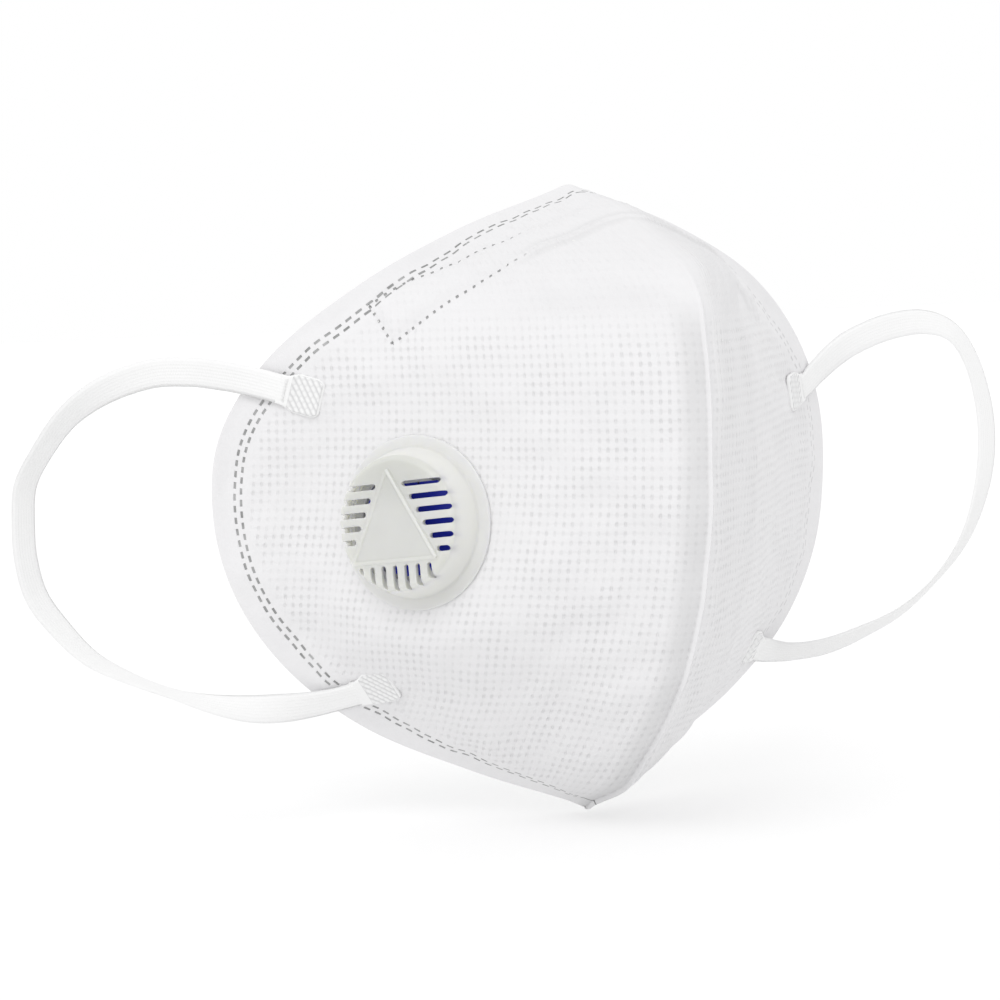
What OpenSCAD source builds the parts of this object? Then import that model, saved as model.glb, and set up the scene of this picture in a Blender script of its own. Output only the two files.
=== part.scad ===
// Fold-flat disposable dust mask with an exhalation valve, opened for wear.
// Millimetres, +Z up. The nose-to-chin line is on the Z axis and the origin is its middle.
// The mask faces -Y, the face goes in along +Y, and +X is the wearer's left.

/* [Mask] */
// Height of the face seal from the nose to the chin
mask_h = 152; // [140:1:165]
// How far the front fold stands in front of the nose-to-chin line
fold_depth = 70.5; // [60:0.5:78]
// Half of the width across the cheeks
cheek_w = 84; // [76:1:92]
// How far the cheek edge lies behind the nose-to-chin line
cheek_back = 27; // [20:1:34]
// Space left between the two halves at the front fold
fold_gap = 0.3; // [0.2:0.05:0.6]

/* [Layers] */
// Thickness of the spunbond outer cover
cover_t = 0.35; // [0.3:0.05:0.5]
// Thickness of the melt-blown filter
filter_t = 0.35; // [0.3:0.05:0.5]
// Thickness of the hot-air cotton support
support_t = 0.6; // [0.5:0.05:0.9]
// Thickness of the inner lining
lining_t = 0.35; // [0.3:0.05:0.5]
// Share of the thickness that the welded edge loses
edge_press = 0.5; // [0.2:0.05:0.6]

/* [Valve] */
// Outer radius of the valve's flange
flange_r = 20.4; // [19:0.1:22]
// Radius of the valve cover's flat front
front_r = 15.2; // [14:0.1:16]
// Height of the valve cover above the fabric
cover_h = 9.2; // [8:0.1:10]
// Radius of the hole that the valve's neck fills
neck_r = 13.5; // [12.5:0.1:14]
// Direction the valve faces, from straight ahead towards the wearer's right
valve_yaw = 54; // [48:1:58]
// Upward tilt of the valve
valve_pitch = 5; // [0:1:8]
// Turn of the valve in its own plane
valve_spin = 6; // [0:1:10]

/* [Straps] */
// Width of the flat elastic
strap_w = 7; // [5:0.5:8]
// Thickness of the flat elastic
strap_t = 0.8; // [0.6:0.1:1.2]

/* [Nose wire] */
// Width of the aluminium nose strip
wire_w = 5; // [4:0.5:6]
// Thickness of the aluminium nose strip
wire_t = 0.4; // [0.3:0.05:0.5]

/* [Hidden] */
$fn = 64;

white = [0.95, 0.95, 0.95];
lining_white = [0.90, 0.92, 0.93];
valve_white = [0.91, 0.91, 0.88];
flap_blue = [0.08, 0.09, 0.42];
bare_metal = [0.72, 0.73, 0.75];

// Profiles of one half, each 15 degrees of latitude from the nose (0) to the chin (180),
// as shares of the driving sizes.
edge_out = [0, .09, .345, .62, .845, .975, 1, .95, .815, .595, .30, .065, 0];
edge_back = [0, .02, .07, .26, .65, .925, 1, .945, .835, .70, .445, .165, 0];
fold_out = [0, .15, .51, .88, .985, 1, .98, .91, .78, .575, .37, .13, 0];

fold_angle = 52;        // panel's angle from the middle plane at the front fold
nose_angle = 78;        // the same on the rounded nose slope
edge_angle = 54;        // the same at the flared edge
fold_pull = 0.30;       // how far each end tangent reaches, as a share of the span
edge_pull = 0.29;
nose_blend = [44, 60];  // heights between which the fold rounds over into the nose slope

rows = 22;              // grid of one layer, from nose to chin
columns = 12;           // and from the fold to the edge
first_row = 5;          // latitude of the first row and, from the chin, of the last
weld_band = 0.1;        // outermost share of a row that is pressed thin
side_room = 0.8;        // share of the distance to the middle plane that the stack may take

half_h = mask_h / 2;
stack_t = cover_t + filter_t + support_t + lining_t;
valve_at = [91, 0.567]; // latitude and share of the row where the valve's axis crosses the panel
flat_r = 24;            // the panel is flat this far round the valve
soft_r = 46;            // and has its own curve from here on

// Functions of the panel's shape, for the wearer's left half. The right half is its mirror image.
function smooth(t) = let (c = min(max(t, 0), 1)) c * c * (3 - 2 * c);

function profile(v, latitude) =
    let (s = latitude / 180 * (len(v) - 1), i = min(floor(s), len(v) - 2), f = s - i,
         a = v[max(i - 1, 0)], b = v[i], c = v[i + 1], d = v[min(i + 2, len(v) - 1)])
    b + f / 2 * (c - a + f * (2 * a - 5 * b + 4 * c - d + f * (3 * (b - c) + d - a)));

function bezier(a, b, c, d, u) =
    pow(1 - u, 3) * a + 3 * pow(1 - u, 2) * u * b + 3 * (1 - u) * u * u * c + pow(u, 3) * d;

function shell_point(latitude, u) =
    let (z = half_h * cos(latitude),
         fold = [0, -fold_depth * profile(fold_out, latitude)],
         edge = [cheek_w * profile(edge_out, latitude), cheek_back * profile(edge_back, latitude)],
         nose = smooth((z - nose_blend[0]) / (nose_blend[1] - nose_blend[0])),
         start = fold_angle + (nose_angle - fold_angle) * nose,
         span = norm(edge - fold),
         p = bezier(fold, fold + fold_pull * span * [sin(start), cos(start)],
                    edge - edge_pull * span * [sin(edge_angle), cos(edge_angle)], edge, u))
    [p[0] + fold_gap / 2, p[1], z];

valve_centre = shell_point(valve_at[0], valve_at[1]);
valve_axis = [sin(valve_yaw) * cos(valve_pitch), -cos(valve_yaw) * cos(valve_pitch),
              sin(valve_pitch)];

function flattened(p) =
    let (r = p - valve_centre, w = 1 - smooth((norm(r) - flat_r) / (soft_r - flat_r)))
    p - w * (r * valve_axis) * valve_axis;

function panel_point(latitude, u, valve) =
    let (p = shell_point(latitude, u)) valve ? flattened(p) : p;

function panel_normal(latitude, u, valve) =
    let (e = 0.02,
         across = panel_point(latitude, min(u + e, 1), valve) - panel_point(latitude, max(u - e, 0), valve),
         down = panel_point(latitude + 1, u, valve) - panel_point(latitude - 1, u, valve),
         n = cross(down, across))
    n / norm(n);

// Step from the outer face to one millimetre inside. At the fold it stays in the middle plane, and
// the narrow ends at the nose and the chin are thin enough to stay on their own side of it.
function inward(latitude, u, valve) =
    let (n = panel_normal(latitude, u, valve),
         pressed = 1 - edge_press * smooth((u - 1 + weld_band) / weld_band),
         room = side_room * (panel_point(latitude, u, valve)[0] - fold_gap / 2) / (stack_t * max(n[0], 0.1)))
    u == 0 ? -[0, n[1], n[2]] / (n[1] * n[1] + n[2] * n[2]) : -min(pressed, room) * n;

function latitude_of(row) = first_row + (180 - 2 * first_row) * row / rows;

// One layer between two depths under the outer face.
module layer(top, bottom, valve) {
    grid = [for (i = [0 : rows], j = [0 : columns])
        let (a = latitude_of(i), u = j / columns)
        [panel_point(a, u, valve), inward(a, u, valve)]];
    n = len(grid);
    c = columns + 1;
    outer = [for (i = [0 : rows - 1], j = [0 : columns - 1])
        let (a = i * c + j) each [[a, a + c, a + 1], [a + 1, a + c, a + c + 1]]];
    inner = [for (f = outer) [f[0] + n, f[2] + n, f[1] + n]];
    loop = concat([for (j = [0 : columns - 1]) j],
                  [for (i = [0 : rows - 1]) i * c + columns],
                  [for (j = [columns : -1 : 1]) rows * c + j],
                  [for (i = [rows : -1 : 1]) i * c]);
    walls = [for (k = [0 : len(loop) - 1])
        let (a = loop[k], b = loop[(k + 1) % len(loop)]) each [[a, b, a + n], [b, b + n, a + n]]];
    polyhedron(points = concat([for (g = grid) g[0] + top * g[1]], [for (g = grid) g[0] + bottom * g[1]]),
               faces = concat(outer, inner, walls), convexity = 6);
}

module valve_place() {
    mirror([1, 0, 0]) translate(valve_centre) rotate([0, 0, valve_yaw]) rotate([90 - valve_pitch, 0, 0])
        mirror([1, 0, 0]) rotate([0, 0, valve_spin]) children();
}

module right_layer(top, bottom) {
    difference() {
        mirror([1, 0, 0]) layer(top, bottom, true);
        valve_place() cylinder(r = neck_r, h = 12, center = true);
    }
}

filter_top = cover_t;
support_top = filter_top + filter_t;
lining_top = support_top + support_t;

module right_outer_cover() color(white) right_layer(0, cover_t);
module right_filter_layer() color(white) right_layer(filter_top, support_top);
module right_support_layer() color(white) right_layer(support_top, lining_top);
module right_inner_lining() color(lining_white) right_layer(lining_top, stack_t);
module left_outer_cover() color(white) layer(0, cover_t, false);
module left_filter_layer() color(white) layer(filter_top, support_top, false);
module left_support_layer() color(white) layer(support_top, lining_top, false);
module left_inner_lining() color(lining_white) layer(lining_top, stack_t, false);

// Nose wire: a flat strip laid inside the support layer, split at the front fold.
wire_route = [[23, 0], [25, 0.15], [28, 0.3], [32, 0.45], [36, 0.57], [40, 0.66], [45, 0.735], [50, 0.775]];
wire_depth = support_top + (support_t - wire_t) / 2;

module nose_wire(valve) {
    last = len(wire_route) - 1;
    points = [for (k = [0 : last])
        let (a = wire_route[k], p = panel_point(a[0], a[1], valve), n = panel_normal(a[0], a[1], valve),
             q = wire_route[min(k + 1, last)], o = wire_route[max(k - 1, 0)],
             along = k == 0 ? [1, 0, 0] : panel_point(q[0], q[1], valve) - panel_point(o[0], o[1], valve),
             side = cross(n, along) / norm(cross(n, along)) * wire_w / 2,
             step = inward(a[0], a[1], valve), top = p + step * wire_depth, low = top + step * wire_t)
        each [top - side, top + side, low + side, low - side]];
    skin = [for (k = [0 : last - 1], j = [0 : 3])
        let (a = 4 * k + j, b = 4 * k + (j + 1) % 4) each [[a, b, a + 4], [b, b + 4, a + 4]]];
    polyhedron(points = points,
               faces = concat(skin, [[0, 3, 2], [0, 2, 1]],
                              [[4 * last, 4 * last + 1, 4 * last + 2], [4 * last, 4 * last + 2, 4 * last + 3]]),
               convexity = 4);
}

module nose_wire_left() color(bare_metal) nose_wire(false);
module nose_wire_right() color(bare_metal) mirror([1, 0, 0]) nose_wire(true);

// Valve, drawn in its own frame: Z points away from the fabric, whose outer face is at 0.
flange_t = 1.2;         // both flanges
flange_lip = 3.2;       // width of the flat rim round the valve cover
wall_t = 1.2;           // valve cover's wall and front
shoulder_r = 1.6;       // rounding of the valve cover's front edge
port_r = 10.5;          // air hole through the seat
lip_w = 1.0;            // ridge that the diaphragm rests on
neck_top = 1.4;         // top of the seat's neck
lip_top = 2.2;
flap_t = 0.4;
flap_r = 12.4;
hinge_y = 9.2;          // height of the clamped edge above the valve's axis
land_w = 0.8;           // how far the seat closes the port under that edge
play = 0.1;             // space between parts that don't touch

skirt_r = flange_r - flange_lip;
slot_w = 1.3;
slot_pitch = 3.1;
slot_h = cover_h - 3.2; // slots cut the front and the top of the wall, down to here
slots = [5, 6, 7];      // how many left of the triangle, right of it and under it
top_slot_y = 8.8;       // height of the uppermost side slots
low_slot_y = -9.6;      // height at which the lower slots start

module slot(x0, x1, y) {
    translate([x0, y - slot_w / 2, slot_h]) cube([x1 - x0, slot_w, cover_h - slot_h + 1]);
}

// Solid triangle in the middle of the front, and its half width with the rim that the slots leave.
triangle_top = 12.6;
triangle_slope = 0.52;
triangle_rim = 1.6;
front_shift = -0.9;         // the triangle and its slots sit off the middle of the front
function triangle_half(y) = (triangle_top - y) * triangle_slope + triangle_rim;

module valve_cover() {
    color(valve_white) valve_place() difference() {
        rotate_extrude() polygon([
            [neck_r + play, 0], [flange_r, 0], [flange_r, 0.5], [flange_r - 0.6, flange_t], [skirt_r, flange_t + 0.2],
            [front_r + 0.6, cover_h - shoulder_r - 1], [front_r, cover_h - shoulder_r],
            [front_r - 0.5, cover_h - 0.5], [front_r - shoulder_r, cover_h], [0, cover_h],
            [0, cover_h - wall_t], [front_r - shoulder_r - 0.6, cover_h - wall_t],
            [skirt_r - wall_t - 0.4, flange_t + 0.8], [neck_r + play, flange_t + 0.8]]);
        for (k = [0 : slots[0] - 1])
            let (y = top_slot_y - k * slot_pitch) slot(-skirt_r, front_shift - triangle_half(y), y);
        for (k = [0 : slots[1] - 1])
            let (y = top_slot_y - k * slot_pitch) slot(front_shift + triangle_half(y), skirt_r, y);
        for (k = [0 : slots[2] - 1])
            translate([front_shift + (k - (slots[2] - 1) / 2) * slot_pitch - slot_w / 2, -skirt_r, slot_h])
                cube([slot_w, skirt_r + low_slot_y, cover_h - slot_h + 1]);
    }
}

module valve_seat() {
    color(valve_white) valve_place() union() {
        rotate_extrude() polygon([
            [port_r, -stack_t - flange_t], [flange_r - 0.8, -stack_t - flange_t], [flange_r - 0.4, -stack_t],
            [neck_r, -stack_t], [neck_r, neck_top], [port_r + lip_w, neck_top], [port_r + lip_w, lip_top],
            [port_r, lip_top]]);
        for (turn = [0, 60, 120])
            rotate([0, 0, turn]) translate([0, 0, -stack_t - flange_t / 2])
                cube([2 * port_r + 1, 1.2, flange_t], center = true);
        translate([0, 0, -stack_t - flange_t]) linear_extrude(lip_top + stack_t + flange_t) intersection() {
            circle(r = port_r + lip_w / 2);
            translate([-port_r, hinge_y - land_w]) square(2 * port_r);
        }
    }
}

module flap_outline(from_y, to_y) {
    intersection() {
        circle(r = flap_r);
        translate([-flap_r, from_y]) square([2 * flap_r, to_y - from_y]);
    }
}

module valve_diaphragm() {
    color(flap_blue) valve_place() translate([0, 0, lip_top]) linear_extrude(flap_t)
        flap_outline(-flap_r, hinge_y);
}

// Bar that clamps the diaphragm's upper edge to the neck.
module valve_clip() {
    color(valve_white) valve_place() translate([0, 0, neck_top]) linear_extrude(lip_top + flap_t + 0.8 - neck_top)
        difference() {
            flap_outline(hinge_y + 0.4, flap_r);
            circle(r = port_r + lip_w + play);
        }
}

// Weld tabs: the flattened ends of each ear loop, fused to the outer cover.
tab_l = 9.6;
tab_w = 9.4;
tab_t = 0.8;
tab_corner = 2;         // radius of the two corners that lie on the panel
tab_lift = 0.5;         // keeps the flat tab clear of the curved cover
// Latitude, share of the row, and turn of the strap's way out towards the nose, in degrees.
right_upper_place = [68, 0.85, 16];
right_lower_place = [124, 0.79, -15];
left_upper_place = [72.5, 0.85, 7];
left_lower_place = [123.5, 0.81, -10];

module tab(place, valve) {
    p = panel_point(place[0], place[1], valve);
    z = panel_normal(place[0], place[1], valve);
    along = panel_point(place[0], place[1] + 0.05, valve) - p;
    y = cross(z, along) / norm(cross(z, along));
    x = cross(y, z);
    multmatrix([[x[0], y[0], z[0], p[0]], [x[1], y[1], z[1], p[1]], [x[2], y[2], z[2], p[2]]])
        rotate([0, 0, place[2]]) translate([0, 0, tab_lift]) linear_extrude(tab_t) {
            translate([-tab_l / 2 + tab_corner, -tab_w / 2]) square([tab_l - tab_corner, tab_w]);
            for (s = [-1, 1])
                translate([-tab_l / 2 + tab_corner, s * (tab_w / 2 - tab_corner)]) circle(r = tab_corner);
            translate([-tab_l / 2, -tab_w / 2 + tab_corner]) square([tab_corner, tab_w - 2 * tab_corner]);
        }
}

module right_upper_tab() color(white) mirror([1, 0, 0]) tab(right_upper_place, true);
module right_lower_tab() color(white) mirror([1, 0, 0]) tab(right_lower_place, true);
module left_upper_tab() color(white) tab(left_upper_place, false);
module left_lower_tab() color(white) tab(left_lower_place, false);

// Ear loops: flat elastic. Each route runs from the upper tab to the lower one, and turn says how
// far the strap's face is turned about its own line at each point, from facing the front quarter.
front_quarter = [-0.42, -0.91, 0];
right_loop_route = [[-70.1, 13.9, 30], [-73.6, 17, 31.3], [-77.8, 19.8, 32.6], [-83, 22.2, 33.8], [-89.5, 24.8, 34.8],
    [-98, 29, 34.6], [-108, 34, 31], [-116, 38, 25], [-122, 40, 17], [-126, 42, 9], [-127, 42, 0], [-127, 41, -9],
    [-125, 40, -18], [-120, 38, -26], [-114, 35, -33], [-106, 32, -38], [-97, 28, -42], [-88, 24, -45],
    [-79, 21.4, -46.8], [-70.5, 20, -47.2], [-63.4, 18.9, -46.8], [-58.2, 16.7, -45.8], [-54.1, 12.5, -44.2]];
right_loop_turn = [3, 3, 3, 2, 1, 5, 20, 40, 50, 50, 50, 50, 50, 55, 65, 75, 80, 60, 30, 0, -20, -28, -26];
left_loop_route = [[72.8, 16, 23.6], [76.1, 19.2, 24.7], [80, 20.6, 27.4], [84.8, 20.4, 31.2], [90.4, 19.8, 34.6],
    [101, 20, 38], [113, 21, 39], [122, 21, 36], [128, 21, 28], [131, 20, 16], [131, 19, 4], [128, 18, -8],
    [121, 16, -20], [110, 14, -30], [98, 12, -37], [85, 11.6, -41.6], [76, 13.8, -44.4], [68.6, 16.9, -45.4],
    [63.2, 18.3, -45], [59, 16.9, -44], [56.2, 13.8, -43.2]];
left_loop_turn = [-26, -31, -29, -18, -5, 5, 22, 42, 46, 42, 40, 46, 58, 70, 62, 50, 44, 40, 25, 3, -6];
loop_rings = 60;

function route_point(route, t) =
    let (s = t * (len(route) - 1), i = min(floor(s), len(route) - 2), f = s - i,
         a = route[max(i - 1, 0)], b = route[i], c = route[i + 1], d = route[min(i + 2, len(route) - 1)])
    b + f / 2 * (c - a + f * (2 * a - 5 * b + 4 * c - d + f * (3 * (b - c) + d - a)));

module strap(route, turn) {
    half_w = strap_w / 2;
    half_t = strap_t / 2;
    section = [[1, 0.5], [0.9, 1], [-0.9, 1], [-1, 0.5], [-1, -0.5], [-0.9, -1], [0.9, -1], [1, -0.5]];
    points = [for (k = [0 : loop_rings])
        let (t = k / loop_rings, e = 0.002, p = route_point(route, t),
             way = route_point(route, min(t + e, 1)) - route_point(route, max(t - e, 0)),
             flat = cross(way, front_quarter) / norm(cross(way, front_quarter)),
             face = cross(flat, way) / norm(cross(flat, way)),
             a = route_point(turn, t),
             wide = cos(a) * flat + sin(a) * face,
             thick = cos(a) * face - sin(a) * flat)
        each [for (s = section) p + s[0] * half_w * wide + s[1] * half_t * thick]];
    n = len(section);
    skin = [for (k = [0 : loop_rings - 1], j = [0 : n - 1])
        let (a = n * k + j, b = n * k + (j + 1) % n) each [[a, a + n, b], [b, a + n, b + n]]];
    caps = [for (j = [1 : n - 2]) each [[0, j, j + 1], n * loop_rings * [1, 1, 1] + [0, j + 1, j]]];
    polyhedron(points = points, faces = concat(skin, caps), convexity = 6);
}

module right_ear_loop() color(white) strap(right_loop_route, right_loop_turn);
module left_ear_loop() color(white) strap(left_loop_route, left_loop_turn);

right_outer_cover();
right_filter_layer();
right_support_layer();
right_inner_lining();
left_outer_cover();
left_filter_layer();
left_support_layer();
left_inner_lining();
nose_wire_right();
nose_wire_left();
valve_cover();
valve_seat();
valve_diaphragm();
valve_clip();
right_ear_loop();
right_upper_tab();
right_lower_tab();
left_ear_loop();
left_upper_tab();
left_lower_tab();
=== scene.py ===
"""Disposable fold-flat dust mask with an exhalation valve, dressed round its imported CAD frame.

Everything is in metres in the row frame: +Z is up, the mask faces -Y and +X is the wearer's left.
The four fabric layers are continuous sheets over the front fold, all made from one panel function.
"""

import math

import bmesh
import bpy
import numpy as np
from mathutils import Matrix, Vector
from mathutils.kdtree import KDTree


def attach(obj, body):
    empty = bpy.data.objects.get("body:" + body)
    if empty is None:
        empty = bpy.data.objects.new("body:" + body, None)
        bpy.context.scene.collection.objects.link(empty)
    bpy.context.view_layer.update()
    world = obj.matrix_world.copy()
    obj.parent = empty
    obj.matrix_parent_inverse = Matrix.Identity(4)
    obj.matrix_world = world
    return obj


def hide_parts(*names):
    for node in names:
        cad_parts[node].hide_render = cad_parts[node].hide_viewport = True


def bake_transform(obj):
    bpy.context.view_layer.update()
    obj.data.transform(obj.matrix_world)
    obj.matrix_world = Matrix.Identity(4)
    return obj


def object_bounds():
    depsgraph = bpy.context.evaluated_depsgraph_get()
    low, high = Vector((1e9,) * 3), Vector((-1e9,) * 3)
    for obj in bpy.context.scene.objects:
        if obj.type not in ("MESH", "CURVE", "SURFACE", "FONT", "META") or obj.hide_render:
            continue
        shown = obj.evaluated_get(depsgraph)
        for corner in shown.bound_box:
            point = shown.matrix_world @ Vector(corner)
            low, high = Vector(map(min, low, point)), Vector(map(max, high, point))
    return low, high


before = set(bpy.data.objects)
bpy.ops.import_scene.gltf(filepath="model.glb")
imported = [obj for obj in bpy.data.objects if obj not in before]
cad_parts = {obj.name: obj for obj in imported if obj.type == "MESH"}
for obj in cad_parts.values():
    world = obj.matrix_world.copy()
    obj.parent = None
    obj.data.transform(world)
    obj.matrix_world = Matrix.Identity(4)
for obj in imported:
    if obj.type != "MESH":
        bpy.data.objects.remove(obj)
cad_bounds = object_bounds()

MM = 0.001

# ---- Driving sizes, the same as in the CAD source ----

HALF_H = 0.076
FOLD_DEPTH = 0.0705
CHEEK_W = 0.084
CHEEK_BACK = 0.027
FOLD_GAP = 0.0003

COVER_T, FILTER_T, SUPPORT_T, LINING_T = 0.00035, 0.00035, 0.0006, 0.00035
STACK_T = COVER_T + FILTER_T + SUPPORT_T + LINING_T
EDGE_PRESS = 0.5

# Profiles of one half, each 15 degrees of latitude from the nose (0) to the chin (180).
EDGE_OUT = (0, 0.09, 0.345, 0.62, 0.845, 0.975, 1, 0.95, 0.815, 0.595, 0.30, 0.065, 0)
EDGE_BACK = (0, 0.02, 0.07, 0.26, 0.65, 0.925, 1, 0.945, 0.835, 0.70, 0.445, 0.165, 0)
FOLD_OUT = (0, 0.15, 0.51, 0.88, 0.985, 1, 0.98, 0.91, 0.78, 0.575, 0.37, 0.13, 0)

FOLD_ANGLE, NOSE_ANGLE, EDGE_ANGLE = np.radians((52, 78, 54))
FOLD_PULL, EDGE_PULL = 0.30, 0.29
NOSE_BLEND = (0.044, 0.060)

FLANGE_R = 0.0204
FLANGE_T = 0.0012
FRONT_R = 0.0152
COVER_H = 0.0092
NECK_R = 0.0135
VALVE_YAW, VALVE_PITCH, VALVE_SPIN = np.radians((54, 5, 6))
VALVE_AT = (91, 0.567)
FLAT_R, SOFT_R = 0.024, 0.046

STRAP_W, STRAP_T = 0.007, 0.0008
WIRE_W, WIRE_T = 0.005, 0.0004

# ---- Shape of the panels ----


def smooth(t):
    c = np.clip(t, 0, 1)
    return c * c * (3 - 2 * c)


def unit(v):
    return v / np.maximum(np.linalg.norm(v, axis=-1, keepdims=True), 1e-12)


def spline(values, t):
    """Catmull-Rom through evenly spaced values, for t from 0 to 1."""
    v = np.asarray(values, float)
    s = np.asarray(t, float) * (len(v) - 1)
    i = np.clip(np.floor(s).astype(int), 0, len(v) - 2)
    f = s - i
    if v.ndim > 1:
        f = f[..., None]
    a, b, c, d = v[np.maximum(i - 1, 0)], v[i], v[i + 1], v[np.minimum(i + 2, len(v) - 1)]
    return b + f / 2 * (c - a + f * (2 * a - 5 * b + 4 * c - d + f * (3 * (b - c) + d - a)))


def shell(latitude, u):
    """Outer face of the wearer's left half, from the fold (u 0) to the edge (u 1)."""
    share = latitude / 180
    z = HALF_H * np.cos(np.radians(latitude))
    zero = np.zeros_like(share)
    fold = np.stack((zero, -FOLD_DEPTH * spline(FOLD_OUT, share)), -1)
    edge = np.stack((CHEEK_W * spline(EDGE_OUT, share), CHEEK_BACK * spline(EDGE_BACK, share)), -1)
    nose = smooth((z - NOSE_BLEND[0]) / (NOSE_BLEND[1] - NOSE_BLEND[0]))
    start = FOLD_ANGLE + (NOSE_ANGLE - FOLD_ANGLE) * nose
    span = np.linalg.norm(edge - fold, axis=-1)
    leave = FOLD_PULL * span[..., None] * np.stack((np.sin(start), np.cos(start)), -1)
    arrive = EDGE_PULL * span[..., None] * np.array((math.sin(EDGE_ANGLE), math.cos(EDGE_ANGLE)))
    w = u[..., None]
    p = (1 - w) ** 3 * fold + 3 * (1 - w) ** 2 * w * (fold + leave)
    p = p + 3 * (1 - w) * w * w * (edge - arrive) + w**3 * edge
    return np.stack((p[..., 0] + FOLD_GAP / 2, p[..., 1], z), -1)


def direction(yaw, pitch):
    """Unit vector from -Y, turned by yaw towards +X and then up by pitch."""
    level = math.cos(pitch)
    return math.sin(yaw) * level, -math.cos(yaw) * level, math.sin(pitch)


VALVE_CENTRE = shell(np.array(VALVE_AT[0]), np.array(VALVE_AT[1]))
VALVE_OUT = np.array(direction(VALVE_YAW, VALVE_PITCH))
VALVE_SPOT = VALVE_CENTRE * np.array((-1, 1, 1))  # the same point on the half that carries the valve
MIRROR = Matrix.Scale(-1, 4, (1, 0, 0))
VALVE_PLACE = (
    MIRROR
    @ Matrix.Translation(VALVE_CENTRE)
    @ Matrix.Rotation(VALVE_YAW, 4, "Z")
    @ Matrix.Rotation(math.pi / 2 - VALVE_PITCH, 4, "X")
    @ MIRROR
    @ Matrix.Rotation(VALVE_SPIN, 4, "Z")
)


def panel(latitude, u, side):
    """Outer face of either half: side is 1 for the wearer's left and -1 for the right, with the valve."""
    p = shell(latitude, u)
    r = p - VALVE_CENTRE
    near = 1 - smooth((np.linalg.norm(r, axis=-1) - FLAT_R) / (SOFT_R - FLAT_R))
    flat = p - (near * (r @ VALVE_OUT))[..., None] * VALVE_OUT
    right = side < 0
    p = np.where(right[..., None], flat, p)
    return p * np.where(right, -1, 1)[..., None] ** np.array((1, 0, 0))


def panel_normal(latitude, u, side):
    e, g = 0.01, 0.5
    across = panel(latitude, np.minimum(u + e, 1), side) - panel(latitude, np.maximum(u - e, 0), side)
    low, high = np.maximum(latitude - g, 0.5), np.minimum(latitude + g, 179.5)
    down = panel(high, u, side) - panel(low, u, side)
    return unit(np.cross(down, across) * side[..., None])


def on_panel(latitude, u, side):
    """One point of the outer face and its normal."""
    a, b, c = np.array(float(latitude)), np.array(float(u)), np.array(float(side))
    return panel(a, b, c), panel_normal(a, b, c)


# Middle of the nose-wire pocket on one half, from the fold outwards: (latitude, share of the row).
POCKET = (
    (23, 0), (25, 0.15), (28, 0.30), (32, 0.45), (36, 0.57),
    (40, 0.66), (45, 0.735), (50, 0.775), (54, 0.79),
)  # fmt: skip
POCKET_HALF = 0.0062
WIRE_END = 7  # the wire stops at this point of the pocket

FINE, COARSE = (168, 148), (84, 70)  # rows, and columns on each side of the fold
CROWDING = 0.85  # how much closer the columns stand at the fold and at the rim
TIP = 2.0  # latitude of the first row, and from the chin of the last
HALVES = (-1.0, 1.0)


def run_length(line):
    """Distance along the line from its start to each of its points."""
    return np.concatenate(([0], np.cumsum(np.linalg.norm(np.diff(line, axis=0), axis=1))))


def sampled(line, count):
    """The line's points at even steps along it, with their distance from its start."""
    step = run_length(line)
    s = np.linspace(0, step[-1], count)
    return np.stack([np.interp(s, step, line[:, k]) for k in range(3)], -1), s


def pocket_line(points, count, side):
    """A smooth line on one half's outer face through points of the pocket's middle."""
    route = np.array(points, float)
    k = np.linspace(0, 1, count)
    latitude, u = spline(route[:, 0], k), np.clip(spline(route[:, 1], k), 0, 1)
    return panel(latitude, u, np.full_like(u, side))


def tree_of(points):
    tree = KDTree(len(points))
    for i, p in enumerate(points):
        tree.insert(p, i)
    tree.balance()
    return tree


def nearest(points, line):
    """For each point, the index of the line's nearest point and the distance to it."""
    tree = tree_of(line)
    found = [tree.find(p)[1:] for p in points.reshape(-1, 3)]
    return tuple(np.array(values).reshape(points.shape[:-1]) for values in zip(*found))


def bell(distance, width):
    return np.exp(-((distance / width) ** 2))


def waves(x, y, length, count, seed):
    """Smooth noise of about unit size: waves of roughly this length in random directions."""
    rng = np.random.default_rng(seed)
    total = np.zeros_like(x)
    for _ in range(count):
        turn, phase = rng.uniform(0, 2 * math.pi, 2)
        k = 2 * math.pi / (length * rng.uniform(0.75, 1.4))
        total += np.sin(k * (x * math.cos(turn) + y * math.sin(turn)) + phase)
    return total / math.sqrt(count / 2)


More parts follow.
